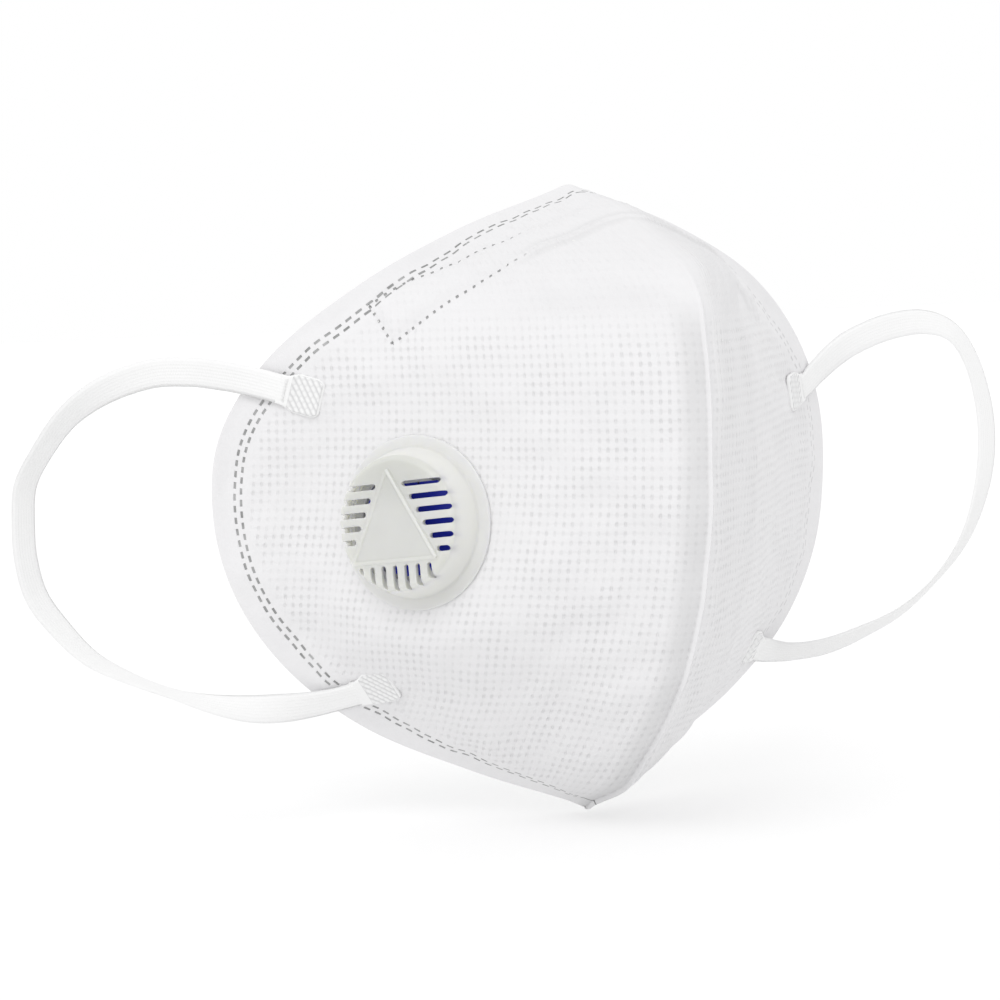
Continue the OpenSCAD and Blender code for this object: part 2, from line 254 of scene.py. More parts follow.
class Grid:
    """The mask's outer face in rows from nose to chin, with what the sheets need at each point."""

    def __init__(self, rows, columns):
        t = np.linspace(-1, 1, 2 * columns + 1)
        u = np.abs(t)
        u = u - CROWDING / (2 * math.pi) * np.sin(2 * math.pi * u)
        latitude = np.linspace(TIP, 180 - TIP, rows + 1)
        self.latitude, self.u = np.meshgrid(latitude, u, indexing="ij")
        self.side = np.broadcast_to(np.where(t < 0, -1.0, 1.0), self.u.shape)
        self.face = panel(self.latitude, self.u, self.side)
        self.face[:, columns, 0] = 0
        own = panel_normal(self.latitude, self.u, self.side)

        steps = np.linalg.norm(np.diff(self.face, axis=1), axis=-1)
        s = np.concatenate((np.zeros((rows + 1, 1)), np.cumsum(steps, axis=1)), axis=1)
        self.across = s - s[:, columns : columns + 1]
        self.from_fold = np.abs(self.across)
        middle = unit(own * np.array((0, 1, 1)))
        turn = smooth(self.from_fold / 0.003)[..., None]
        self.normal = unit(middle * (1 - turn) + own * turn)
        self.stretch = 1 / np.clip(np.sum(self.normal * own, axis=-1), 0.6, 1)

        self._measure_rim()
        self._measure_pocket()
        self.relief = self._relief()

    def _measure_rim(self):
        self.rim_along = np.zeros_like(self.u)
        self.from_rim = np.zeros_like(self.u)
        a = np.linspace(0.5, 179.5, 720)
        for side in HALVES:
            line, s = sampled(panel(a, np.ones_like(a), np.full_like(a, side)), 1600)
            here = self.side[0] == side
            index, distance = nearest(self.face[:, here], line)
            self.rim_along[:, here] = s[index]
            self.from_rim[:, here] = distance

    def _measure_pocket(self):
        self.pocket_along = np.zeros_like(self.u)
        self.pocket_off = np.zeros_like(self.u)
        for side in HALVES:
            line, s = sampled(pocket_line(POCKET, 80, side), 500)
            here = self.side[0] == side
            index, distance = nearest(self.face[:, here], line)
            way = unit(np.gradient(line, axis=0))[index]
            off = self.face[:, here] - line[index]
            beyond = np.where(index == len(line) - 1, np.sum(off * way, axis=-1), 0)
            self.pocket_along[:, here] = s[index] + beyond
            up = np.cross(way, self.normal[:, here]) * side
            square = np.maximum(distance**2 - beyond**2, 0)
            self.pocket_off[:, here] = np.sign(np.sum(off * up, axis=-1)) * np.sqrt(square)
        self.pocket_length = s[-1]

    def _relief(self):
        """How far the fabric stands out of the plain panel. The parts' heights are in millimetres."""
        x, z = self.across, self.face[..., 2]
        valve = np.linalg.norm(self.face - VALVE_SPOT, axis=-1)
        calm = smooth((valve - FLANGE_R) / 0.02) * smooth(self.from_rim / 0.004)
        soft = 0.30 * waves(x, z, 0.030, 9, 3) + 0.13 * waves(x * 1.2, z, 0.013, 9, 5)
        height = self._fold_relief() + self._pocket_relief() + calm * soft
        height = height + 0.22 * self._side_band() * waves(x * 0.25, z, 0.0075, 10, 7)
        chin = smooth((self.latitude - 118) / 25) * smooth((self.from_fold - 0.004) / 0.01)
        height = height + 0.22 * calm * chin * waves(x * 0.9 + z * 0.7, z * 0.2, 0.012, 8, 11)
        return height * MM

    def _fold_relief(self):
        """The pressed fold: a narrow ridge between two hollows, from below the nose to the chin."""
        below_nose = smooth((self.latitude - 46) / 14) * smooth((178 - self.latitude) / 4)
        ridge, hollow = bell(self.from_fold, 0.55 * MM), bell(self.from_fold, 3.6 * MM)
        return 1.1 * (ridge - hollow) * below_nose

    def _pocket_relief(self):
        """The nose-wire pocket: a raised strip, welts near the fold and pressed grooves farther out."""
        off, along = np.abs(self.pocket_off), self.pocket_along
        inside = smooth((self.pocket_length - along) / (2 * MM))
        strip = 1 - smooth((off - 2.5 * MM) / (3.5 * MM))
        groove = bell(off - POCKET_HALF, 1.1 * MM)
        end = bell(along - self.pocket_length, 1.0 * MM) * (off < POCKET_HALF)
        reach = np.where(self.side > 0, smooth((0.058 - along) / 0.01), smooth((0.030 - along) / 0.010))
        lower = bell(self.pocket_off - POCKET_HALF, 1.4 * MM) * reach
        upper = bell(self.pocket_off + POCKET_HALF, 1.1 * MM) * reach
        at_fold = 0.1 + 0.9 * smooth(self.from_fold / 0.010)
        welt = (1 - reach) * -0.45 * groove + 1.0 * lower + 0.5 * upper
        return at_fold * (inside * (0.6 * strip + welt) - 0.3 * end)

    def _side_band(self):
        """A band inside the left half's rim, where the fabric lies in short ripples."""
        band = smooth((self.across - 0.030) / 0.02) * smooth((self.from_rim - 0.006) / 0.006)
        band = band * smooth((0.040 - self.from_rim) / 0.02)
        return band * smooth((self.latitude - 48) / 20) * smooth((132 - self.latitude) / 20)

    def at(self, depth):
        """The surface this far under the outer face, in a stack that is pressed thin at its edge."""
        pressed = 1 - EDGE_PRESS * (1 - smooth(self.from_rim / 0.008))
        to_middle = np.abs(self.face[..., 0])  # a half stays on its own side of the fold
        room = 0.8 * to_middle / (STACK_T * np.maximum(np.abs(self.normal[..., 0]), 0.1))
        away = self.from_fold > 0.002
        share = np.where(away, np.minimum(pressed, room), np.minimum(pressed, 1)) * self.stretch
        tips = smooth((self.latitude - TIP) / 6) * smooth((180 - TIP - self.latitude) / 6)
        share = share * (0.35 + 0.65 * tips)
        flare = smooth((0.006 - self.from_rim) / 0.006) * 0.5 * MM
        return self.face + self.normal * (self.relief + flare - depth * share)[..., None]

    def kept(self):
        """Which cells stay once the valve's hole is cut."""
        centre = (self.face[:-1, :-1] + self.face[1:, 1:]) / 2
        return np.linalg.norm(centre - VALVE_SPOT, axis=-1) > NECK_R + 0.8 * MM


# ---- Mesh helpers ----


def new_object(name, vertices, faces, material, smooth_faces=True):
    mesh = bpy.data.meshes.new(name)
    mesh.from_pydata([tuple(v) for v in vertices], [], faces)
    mesh.validate()
    mesh.update()
    piece = bpy.data.objects.new(name, mesh)
    bpy.context.scene.collection.objects.link(piece)
    if material:
        mesh.materials.append(material)
    if smooth_faces:
        mesh.polygons.foreach_set("use_smooth", [True] * len(mesh.polygons))
    return piece


def add_uv(piece, name, values):
    """A UV layer from two numbers for each vertex, in metres."""
    mesh = piece.data
    layer = mesh.uv_layers.new(name=name)
    corner = np.empty(len(mesh.loops), np.int32)
    mesh.loops.foreach_get("vertex_index", corner)
    layer.data.foreach_set("uv", np.asarray(values, np.float32)[corner].ravel())


def tidied(piece, merge=False):
    """Turns a closed piece's faces outwards, with points that coincide merged first if asked."""
    work = bmesh.new()
    work.from_mesh(piece.data)
    if merge:
        bmesh.ops.remove_doubles(work, verts=work.verts, dist=1e-6)
    bmesh.ops.recalc_face_normals(work, faces=work.faces)
    work.to_mesh(piece.data)
    work.free()
    return piece


def only_material(piece, material):
    piece.data.materials.clear()
    piece.data.materials.append(material)


def closed_sheet(name, top, bottom, keep, layers, material):
    """A sheet between two grids of points, walled in along its boundary. layers holds its UV values."""
    rows, columns = keep.shape
    index = np.arange((rows + 1) * (columns + 1)).reshape(rows + 1, columns + 1)
    a, b, c, d = index[:-1, :-1], index[1:, :-1], index[1:, 1:], index[:-1, 1:]
    quads = np.stack((a, b, c, d), -1)[keep]
    count = index.size
    one_way = np.concatenate([quads[:, [i, (i + 1) % 4]] for i in range(4)])
    code = one_way[:, 0] * count + one_way[:, 1]
    back = one_way[:, 1] * count + one_way[:, 0]
    edge = one_way[~np.isin(code, back)]
    walls = np.stack((edge[:, 1], edge[:, 0], edge[:, 0] + count, edge[:, 1] + count), -1)
    faces = np.concatenate((quads, quads[:, ::-1] + count, walls))
    used, faces = np.unique(faces, return_inverse=True)
    points = np.concatenate((top.reshape(-1, 3), bottom.reshape(-1, 3)))[used]
    piece = new_object(name, points, faces.reshape(-1, 4).tolist(), material)
    for layer, values in layers.items():
        flat = values.reshape(-1, 2)
        add_uv(piece, layer, np.concatenate((flat, flat))[used])
    return piece


def revolve(name, outline, segments):
    """A closed body of revolution about Z from an outline of (radius, height), in millimetres."""
    points, faces = [], []
    n = len(outline)
    for k in range(segments):
        a = 2 * math.pi * k / segments
        points += [(r * MM * math.cos(a), r * MM * math.sin(a), h * MM) for r, h in outline]
        nxt = (k + 1) % segments
        for i in range(n):
            j = (i + 1) % n
            faces.append((k * n + i, nxt * n + i, nxt * n + j, k * n + j))
    return tidied(new_object(name, points, faces, None), merge=True)


def prism(name, outline, low, high):
    """A straight prism along Z from an outline of (x, y), all in millimetres."""
    n = len(outline)
    points = [(x * MM, y * MM, h * MM) for h in (low, high) for x, y in outline]
    faces = [tuple(range(n - 1, -1, -1)), tuple(range(n, 2 * n))]
    faces += [(i, (i + 1) % n, n + (i + 1) % n, n + i) for i in range(n)]
    return new_object(name, points, faces, None, smooth_faces=False)


def box_outline(half_x, half_y):
    return [(-half_x, -half_y), (half_x, -half_y), (half_x, half_y), (-half_x, half_y)]


def arc(x, y, r, start, stop, count):
    """Points of an arc about (x, y), from one angle to another, in degrees."""
    turns = np.radians(np.linspace(start, stop, count))
    return [(x + r * math.cos(a), y + r * math.sin(a)) for a in turns]


def apply_boolean(piece, cutters, operation):
    """Applies one boolean for each cutter and removes the cutters."""
    for cutter in cutters:
        step = piece.modifiers.new("cut", "BOOLEAN")
        step.operation = operation
        step.solver = "EXACT"
        step.object = cutter
    graph = bpy.context.evaluated_depsgraph_get()
    made = bpy.data.meshes.new_from_object(piece.evaluated_get(graph))
    piece.modifiers.clear()
    piece.data = made
    for cutter in cutters:
        bpy.data.objects.remove(cutter)


def bevelled(piece, width):
    """Softens a piece's sharp edges, with flat faces left flat."""
    bevel = piece.modifiers.new("edges", "BEVEL")
    bevel.width = width
    bevel.segments = 2
    bevel.limit_method = "ANGLE"
    bevel.angle_limit = math.radians(32)
    bevel.use_clamp_overlap = True
    bevel.harden_normals = True


# ---- Materials ----


class Graph:
    """Short calls for building one material's nodes. A value is a number or a socket."""

    def __init__(self, name, colour, roughness):
        self.material = bpy.data.materials.new(name)
        self.material.use_nodes = True
        self.tree = self.material.node_tree
        self.shader = self.tree.nodes["Principled BSDF"]
        self.shader.inputs["Base Color"].default_value = (*colour, 1)
        self.shader.inputs["Roughness"].default_value = roughness
        self.colour = colour

    def put(self, socket, value):
        if isinstance(value, bpy.types.NodeSocket):
            self.tree.links.new(value, socket)
        else:
            socket.default_value = value

    def node(self, kind, inputs, **settings):
        made = self.tree.nodes.new(kind)
        for name, value in settings.items():
            setattr(made, name, value)
        for name, value in inputs.items():
            self.put(made.inputs[name], value)
        return made

    def math(self, operation, *values):
        return self.node("ShaderNodeMath", dict(enumerate(values)), operation=operation).outputs[0]

    def uv(self, layer):
        """The layer's two numbers in millimetres."""
        source = self.node("ShaderNodeUVMap", {}, uv_map=layer).outputs[0]
        parts = self.node("ShaderNodeSeparateXYZ", {0: source})
        return self.math("DIVIDE", parts.outputs[0], MM), self.math("DIVIDE", parts.outputs[1], MM)

    def vector(self, x, y):
        return self.node("ShaderNodeCombineXYZ", {0: x, 1: y}).outputs[0]

    def object_place(self):
        return self.node("ShaderNodeTexCoord", {}).outputs["Object"]

    def noise(self, vector, scale, detail=3.0, roughness=0.55):
        inputs = {"Vector": vector, "Scale": scale, "Detail": detail, "Roughness": roughness}
        return self.node("ShaderNodeTexNoise", inputs).outputs["Fac"]

    def ramp(self, value, low, high, to_low=0.0, to_high=1.0):
        """Smooth step of value from low to high."""
        inputs = {"Value": value, "From Min": low, "From Max": high, "To Min": to_low, "To Max": to_high}
        return self.node("ShaderNodeMapRange", inputs, interpolation_type="SMOOTHSTEP").outputs[0]

    def fade(self, value, low, high):
        """Smooth step of value down from 1 at low to 0 at high."""
        return self.ramp(value, low, high, 1, 0)

    def apart(self, value, centre=0.0):
        return self.math("ABSOLUTE", self.math("SUBTRACT", value, centre))

    def one_less(self, value):
        return self.math("SUBTRACT", 1, value)

    def from_centre(self, value, pitch, offset=0.0):
        """Distance of a value from the middle of its cell, in a row of cells with this pitch."""
        cell = self.math("FRACT", self.math("ADD", self.math("DIVIDE", value, pitch), offset))
        return self.math("MULTIPLY", self.apart(cell, 0.5), pitch)

    def total(self, *parts):
        made = parts[0]
        for part in parts[1:]:
            made = self.math("ADD", made, part)
        return made

    def product(self, *parts):
        made = parts[0]
        for part in parts[1:]:
            made = self.math("MULTIPLY", made, part)
        return made

    def shade(self, *amounts, tint=(1.0, 1.0, 1.0)):
        """Darkens the base colour by the sum of the amounts. tint says how much each channel follows."""
        amount = self.total(*amounts)
        mix = self.node("ShaderNodeMix", {"Factor": amount}, data_type="RGBA")
        dark = [c * (1 - k) for c, k in zip(self.colour, tint)]
        self.put(mix.inputs["A"], (*self.colour, 1))
        self.put(mix.inputs["B"], (*dark, 1))
        self.put(self.shader.inputs["Base Color"], mix.outputs["Result"])

    def bump(self, *heights):
        """Relief from the sum of the heights, in millimetres."""
        inputs = {"Height": self.total(*heights), "Distance": MM, "Strength": 1.0}
        self.put(self.shader.inputs["Normal"], self.node("ShaderNodeBump", inputs).outputs[0])

    def sheen(self, weight, roughness):
        self.shader.inputs["Sheen Weight"].default_value = weight
        self.shader.inputs["Sheen Roughness"].default_value = roughness


# Millimetres from here to the end of the materials: s runs across the mask from the fold, t is the height.
TICK_PITCH = 2.1
RIB_PITCH = 1.0
DASH_PITCH = 3.1
DOT_PITCH = 2.3
WELD_ROWS = (5.5, 7.2)
WELD_CLEAR = (8.5, 10.5)  # the embossing starts this far inside the rim
DOT_EDGE = (0.20, 0.42)


def embossed_ticks(g, s, t, place):
    """Spots in a grid joined by faint lines, stronger in patches, faint on the nose and beside the fold."""
    patchy = g.product(
        g.ramp(g.noise(place, 0.11, 3), 0.36, 0.62, 0.45, 1),
        g.ramp(g.noise(place, 0.55, 2), 0.3, 0.6, 0.6, 1),
    )
    by_column, by_row = g.from_centre(s, TICK_PITCH), g.from_centre(t, TICK_PITCH)
    spots = g.product(g.fade(by_column, 0.12, 0.52), g.fade(by_row, 0.25, 0.78))
    lines = g.total(g.fade(by_row, 0.05, 0.45), g.product(g.fade(by_column, 0.05, 0.4), 0.7))
    beside_fold = g.total(1, g.product(g.ramp(s, -8, -4), g.ramp(s, 0, 3, -0.45, 0)))
    shown = g.product(g.ramp(t, 38, 48, 1, 0.2), beside_fold)
    return g.product(g.total(spots, g.product(lines, 0.3)), patchy, shown)


def side_threads(g, s, t, place):
    """The half without the valve: fine ribs near the fold and rows that wander near the rim."""
    near_fold = g.product(g.ramp(s, 1, 6), g.fade(s, 34, 52))
    near_rim = g.product(g.ramp(s, 40, 58), g.ramp(g.noise(place, 0.12, 3), 0.36, 0.64, 0.1, 1))
    ribs = g.fade(g.from_centre(s, RIB_PITCH), 0.05, 0.45)
    wandering = g.total(t, g.product(g.noise(place, 0.12, 2), 1.2))
    rows = g.fade(g.from_centre(wandering, TICK_PITCH), 0.1, 0.9)
    return g.total(g.product(ribs, near_fold, 1.6), g.product(rows, near_rim, 1.3))


def edge_weld(g, s, along, inward):
    """Two rows of dashes inside the rim, half a pitch apart."""
    dashes = 0.0
    for k, depth in enumerate(WELD_ROWS):
        length = g.fade(g.from_centre(along, DASH_PITCH, 0.5 * k), 0.75, 0.95)
        dashes = g.total(dashes, g.product(length, g.fade(g.apart(inward, depth), 0.18, 0.40)))
    worn = g.ramp(g.noise(g.vector(along, inward), 0.16, 2), 0.25, 0.7, 0.65, 1)
    return g.product(dashes, worn, g.ramp(s, 15, 50, 1, 0.3))


def pocket_weld(g, s, along, off, length):
    """Dots along both sides of the nose-wire pocket and across its end, on the valve's half."""
    half = POCKET_HALF / MM
    side = g.math("ABSOLUTE", off)
    in_row = g.fade(g.apart(side, half), *DOT_EDGE)
    rows = g.product(in_row, g.fade(g.from_centre(along, DOT_PITCH), *DOT_EDGE))
    rows = g.product(rows, g.ramp(along, 20, 30), g.math("LESS_THAN", along, length))
    at_end = g.fade(g.apart(along, length), *DOT_EDGE)
    end = g.product(at_end, g.fade(g.from_centre(off, DOT_PITCH), *DOT_EDGE))
    end = g.product(end, g.math("LESS_THAN", side, half + 0.5))
    return g.product(g.total(rows, end), g.fade(s, -5, 5))


def painted_welt_shade(g, s, along, off):
    """Painted shade on both sides of the pocket's lower welt, as far as the welt reaches on each half."""
    reach = g.total(
        g.product(g.fade(s, -2, 2), g.fade(along, 20, 30)),
        g.product(g.ramp(s, -2, 2), g.fade(along, 48, 58)),
    )
    beside = g.apart(off, POCKET_HALF / MM)
    return g.product(g.ramp(beside, 0.7, 1.5), g.fade(beside, 1.6, 4.2), reach)


def nonwoven(name, colour, pocket_length, tick, weld, fibre):
    """White spunbond sheet with embossing, fibres, the edge weld and the pocket, with painted shade beside
    the fold, beside the pocket's welt, over the nose and at the chin. tick, weld and fibre say how strongly
    each one shows."""
    g = Graph(name, colour, 0.9)
    g.sheen(0.10, 0.5)
    s, t = g.uv("Panel")
    along, inward = g.uv("Rim")
    pocket, off = g.uv("Pocket")
    place = g.vector(s, t)

    clear = g.ramp(inward, *WELD_CLEAR)
    ticks = g.product(embossed_ticks(g, s, t, place), clear)
    thread = g.product(side_threads(g, s, t, place), clear)
    dashes = edge_weld(g, s, along, inward)
    dots = pocket_weld(g, s, pocket, off, pocket_length / MM)
    # welt is painted shade in the grooves beside the pocket's lower welt
    welt = painted_welt_shade(g, s, pocket, off)
    # painted shade in a band beside the fold's pressed ridge, on the valve's half, below the nose
    painted_fold_shade = g.product(g.ramp(s, -9, -4), g.fade(s, -1, -0.5), g.fade(t, 38, 50))
    # nose is painted shade over the nose, from 46 mm up
    nose = g.ramp(t, 46, 60)
    # chin is painted shade at the chin, near the fold
    chin = g.product(g.fade(t, -72, -50), g.fade(g.apart(s), 6, 26))
    hair = g.noise(g.vector(g.math("MULTIPLY", s, 2.4), g.math("MULTIPLY", t, 0.8)), 1.5, 4, 0.7)
    cloud = g.noise(place, 0.5, 4, 0.6)

    g.shade(
        g.product(ticks, 0.085 * tick),
        g.product(thread, 0.022 * tick),
        g.product(painted_fold_shade, 0.12 * tick),
        g.product(welt, 0.05 * tick),
        g.product(nose, 0.045 * tick),
        g.product(chin, 0.09 * tick),
        g.product(dashes, 0.66 * weld),
        g.product(dots, 0.55 * weld),
        g.product(g.one_less(cloud), 0.045),
        tint=(1.0, 0.99, 1.02),
    )
    g.bump(
        g.product(ticks, -0.13 * tick),
        g.product(thread, -0.045 * tick),
        g.product(dashes, -0.22 * weld),
        g.product(dots, -0.28 * weld),
        g.product(hair, 0.055 * fibre),
        g.product(cloud, 0.10 * fibre),
    )
    return g.material


def plain_fleece(name, colour):
    """Inner layers, seen only at the rim."""
    g = Graph(name, colour, 0.95)
    s, t = g.uv("Panel")
    fluff = g.noise(g.vector(s, t), 1.8, 4, 0.7)
    g.shade(g.product(fluff, 0.08))
    g.bump(g.product(fluff, 0.12))
    return g.material


WALL_LEAN = 0.31  # how much nearer the axis the cover's wall is for each millimetre of height


def moulded(name, colour, roughness):
    """Matt, slightly translucent plastic with faint flow marks. It has painted shade on the front face, a
    painted shadow at the lower side and a painted glow on the inside of the cover."""
    g = Graph(name, colour, roughness)
    g.shader.inputs["Subsurface Weight"].default_value = 0.9
    g.shader.inputs["Subsurface Radius"].default_value = (1.0, 1.0, 0.85)
    g.shader.inputs["Subsurface Scale"].default_value = 2.8 * MM
    place = g.object_place()
    parts = g.node("ShaderNodeSeparateXYZ", {0: place}).outputs
    x, y, height = (g.math("DIVIDE", parts[i], MM) for i in range(3))
    # front is painted shade on the front face. It is stronger towards the top and mostly left off the
    # raised bars, so that they stand out light
    front = g.product(g.ramp(height, 6.6, 8.8), g.ramp(height, 9.4, 9.6, 1, 0.2), g.ramp(y, 2, 9, 0.7, 1))
    # lower is a painted shadow on the flange and the low wall at the lower side
    lower = g.product(g.fade(g.total(y, g.product(x, -0.4)), -21, -12), g.fade(height, 5, 7))
    # painted light: a faint glow on the inside of the cover, between the lip and the front
    from_axis = g.math("SQRT", g.total(g.product(x, x), g.product(y, y)))
    inside = g.fade(g.total(from_axis, g.product(height, WALL_LEAN)), 16.7, 17.3)
    painted_glow = g.product(inside, g.fade(height, 7.4, 7.9), g.ramp(height, 1.5, 2.5))
    g.shader.inputs["Emission Color"].default_value = (*colour, 1)
    g.put(g.shader.inputs["Emission Strength"], g.product(painted_glow, 0.17))
    flow = g.noise(place, 160, 3)
    grain = g.noise(place, 2600, 2)
    g.shade(
        g.product(flow, 0.05),
        g.product(front, 0.20),
        g.product(lower, 0.07),
        tint=(1.0, 0.97, 1.1),
    )
    g.bump(g.product(grain, 0.008), g.product(flow, 0.03))
    g.put(g.shader.inputs["Roughness"], g.ramp(flow, 0.3, 0.7, roughness - 0.05, roughness + 0.07))
    return g.material


def silicone(name, colour):
    """Rubber of the flap, with a little dust."""
    g = Graph(name, colour, 0.34)
    dust = g.noise(g.object_place(), 900, 4)
    g.shade(g.product(dust, 0.25))
    g.bump(g.product(dust, 0.01))
    return g.material


def knitted(name, colour):
    """Flat knitted elastic: ribs along it, with a stitch across each rib."""
    g = Graph(name, colour, 0.8)
    g.sheen(0.2, 0.4)
    along, across = g.uv("Strap")
    rib = g.fade(g.from_centre(across, 0.78), 0.05, 0.39)
    slanted = g.math("ADD", along, g.math("MULTIPLY", across, 0.35))
    stitch = g.fade(g.from_centre(slanted, 0.62), 0.02, 0.31)
    fuzz = g.noise(g.vector(along, across), 2.2, 4, 0.7)
    # painted shade in the grooves between the ribs
    g.shade(g.product(g.one_less(rib), 0.018), g.product(fuzz, 0.03))
    g.bump(g.product(rib, 0.02), g.product(rib, stitch, 0.02), g.product(fuzz, 0.04))
    return g.material


PAD_HEIGHT = 0.22


def welded(name, colour):
    """Pressed end of the elastic: glossier on the high pads, with painted shade in the valleys."""
    g = Graph(name, colour, 0.55)
    along, across = g.uv("Strap")
    height = g.uv("Relief")[0]
    fuzz = g.noise(g.vector(along, across), 1.6, 4, 0.7)
    # low is painted shade in the valleys between the pads
    low = g.fade(height, 0.0, PAD_HEIGHT)
    g.shade(g.product(low, 0.24), g.product(fuzz, 0.05), tint=(1.0, 1.0, 0.98))
    g.put(g.shader.inputs["Roughness"], g.ramp(height, 0.0, PAD_HEIGHT, 0.75, 0.36))
    g.bump(g.product(fuzz, 0.05))
    return g.material


def bare_metal(name, colour):
    """Drawn wire, with fine streaks along it."""
    g = Graph(name, colour, 0.3)
    g.shader.inputs["Metallic"].default_value = 1
    along, across = g.uv("Strap")
    drawn = g.noise(g.vector(g.math("MULTIPLY", along, 0.08), across), 6, 3)
    g.shade(g.product(drawn, 0.15))
    g.put(g.shader.inputs["Roughness"], g.ramp(drawn, 0.3, 0.7, 0.25, 0.42))
    return g.material


# ---- Fabric layers ----

LAYER_TOPS = np.cumsum((0, COVER_T, FILTER_T, SUPPORT_T, LINING_T))


def make_layer(name, grid, number, material):
    """One fabric layer of the whole mask, with the valve's hole. Number 0 is the outer cover."""
    top, bottom = grid.at(LAYER_TOPS[number]), grid.at(LAYER_TOPS[number + 1])
    layers = {
        "Panel": np.stack((grid.across, grid.face[..., 2]), -1),
        "Rim": np.stack((grid.rim_along, grid.from_rim), -1),
        "Pocket": np.stack((grid.pocket_along, grid.pocket_off), -1),
    }
    piece = closed_sheet(name, top, bottom, grid.kept(), layers, material)
    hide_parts(f"right_{name}", f"left_{name}")
    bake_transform(piece)


fine_grid, coarse_grid = Grid(*FINE), Grid(*COARSE)
pocket_length = fine_grid.pocket_length

outer_fabric = nonwoven("outer_fabric", (0.79, 0.785, 0.795), pocket_length, tick=1.0, weld=1.0, fibre=1.0)
lining_fabric = nonwoven("lining_fabric", (0.80, 0.805, 0.81), pocket_length, tick=0.5, weld=0.8, fibre=0.8)
fleece = plain_fleece("inner_fleece", (0.80, 0.80, 0.79))

make_layer("outer_cover", fine_grid, 0, outer_fabric)
make_layer("filter_layer", coarse_grid, 1, fleece)
make_layer("support_layer", coarse_grid, 2, fleece)
make_layer("inner_lining", fine_grid, 3, lining_fabric)

# ---- Ribbons: the nose wire and the ear loops ----

STRIP_POINTS = 9  # points across the wire and each face of a strap


def ribbon(name, line, wide, thick, material):
    """The flat strap along a line of points. wide and thick are its unit directions at each point."""
    across = np.linspace(-1, 1, STRIP_POINTS)
    belly = np.sqrt(np.clip(1 - np.abs(across) ** 10, 0, 1))
    section = [*zip(across, belly), *zip(across[::-1], -belly[::-1])][:-1]
    n, rings = len(section), len(line)
    points, uv, faces = [], [], []
    for p, w, t, along in zip(line, wide, thick, run_length(line)):
        points += [p + x * STRAP_W / 2 * w + y * STRAP_T / 2 * t for x, y in section]
        uv += [(along, x * STRAP_W / 2) for x, y in section]
    for k in range(rings - 1):
        for j in range(n):
            i = (j + 1) % n
            faces.append((k * n + j, k * n + i, (k + 1) * n + i, (k + 1) * n + j))
    faces += [tuple(range(n - 1, -1, -1)), tuple(range((rings - 1) * n, rings * n))]
    piece = new_object(name, points, faces, material)
    add_uv(piece, "Strap", uv)
    return tidied(piece)


def make_nose_wire(grid, material):
    """The wire lies in the middle of the support layer and follows its surface."""
    right, left = (pocket_line(POCKET[: WIRE_END + 1], 60, side) for side in HALVES)
    right[0, 0] = 0
    line = np.concatenate((right[::-1], left[1:]))

    points, normals = grid.face.reshape(-1, 3), grid.normal.reshape(-1, 3)
    middle = grid.at(LAYER_TOPS[2] + SUPPORT_T / 2)
    inward = np.sum((middle - grid.face).reshape(-1, 3) * normals, axis=-1)
    tree = tree_of(points)

    def settled(p):
        """The layer's middle surface under p and its normal, averaged over nearby grid points."""
        _, index, distance = zip(*tree.find_n(p, 12))
        index = list(index)
        weight = 1 / (np.array(distance) + 0.2 * MM) ** 2
        weight = (weight / weight.sum())[:, None]
        n = unit((weight * normals[index]).sum(axis=0))
        base = (weight * points[index]).sum(axis=0)
        return p + n * (np.dot(base - p, n) + (weight[:, 0] * inward[index]).sum()), n

    normal = np.array([settled(p)[1] for p in line])
    wide = unit(np.cross(normal, unit(np.gradient(line, axis=0))))
    across = np.linspace(-1, 1, STRIP_POINTS) * WIRE_W / 2
    centre = np.array([[settled(p + x * w)[0] for x in across] for p, w in zip(line, wide)])
    out = np.repeat(normal[:, None], len(across), axis=1) * WIRE_T / 2
    strap = np.stack(np.broadcast_arrays(run_length(line)[:, None], across), -1)
    cells = np.ones((len(line) - 1, len(across) - 1), bool)
    piece = tidied(closed_sheet("nose_wire", centre + out, centre - out, cells, {"Strap": strap}, material))
    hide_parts("nose_wire_right", "nose_wire_left")
    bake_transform(piece)


make_nose_wire(fine_grid, bare_metal("nose_wire", (0.75, 0.76, 0.78)))

# Ear loop routes, from the upper tab to the lower one, and how far the strap's face is turned about
# its own line at each point, in degrees from facing the front quarter.
FRONT_QUARTER = np.array((-0.42, -0.91, 0))
RIGHT_ROUTE = (
    (-0.0701, 0.0139, 0.0300), (-0.0736, 0.0170, 0.0313), (-0.0778, 0.0198, 0.0326),
    (-0.0830, 0.0222, 0.0338), (-0.0895, 0.0248, 0.0348), (-0.0980, 0.0290, 0.0346),
    (-0.1080, 0.0340, 0.0310), (-0.1160, 0.0380, 0.0250), (-0.1220, 0.0400, 0.0170),
    (-0.1260, 0.0420, 0.0090), (-0.1270, 0.0420, 0.0000), (-0.1270, 0.0410, -0.0090),
    (-0.1250, 0.0400, -0.0180), (-0.1200, 0.0380, -0.0260), (-0.1140, 0.0350, -0.0330),
    (-0.1060, 0.0320, -0.0380), (-0.0970, 0.0280, -0.0420), (-0.0880, 0.0240, -0.0450),
    (-0.0790, 0.0214, -0.0468), (-0.0705, 0.0200, -0.0472), (-0.0634, 0.0189, -0.0468),
    (-0.0582, 0.0167, -0.0458), (-0.0541, 0.0125, -0.0442),
)  # fmt: skip
RIGHT_TURN = (3, 3, 3, 2, 1, 5, 20, 40, 50, 50, 50, 50, 50, 55, 65, 75, 80, 60, 30, 0, -20, -28, -26)
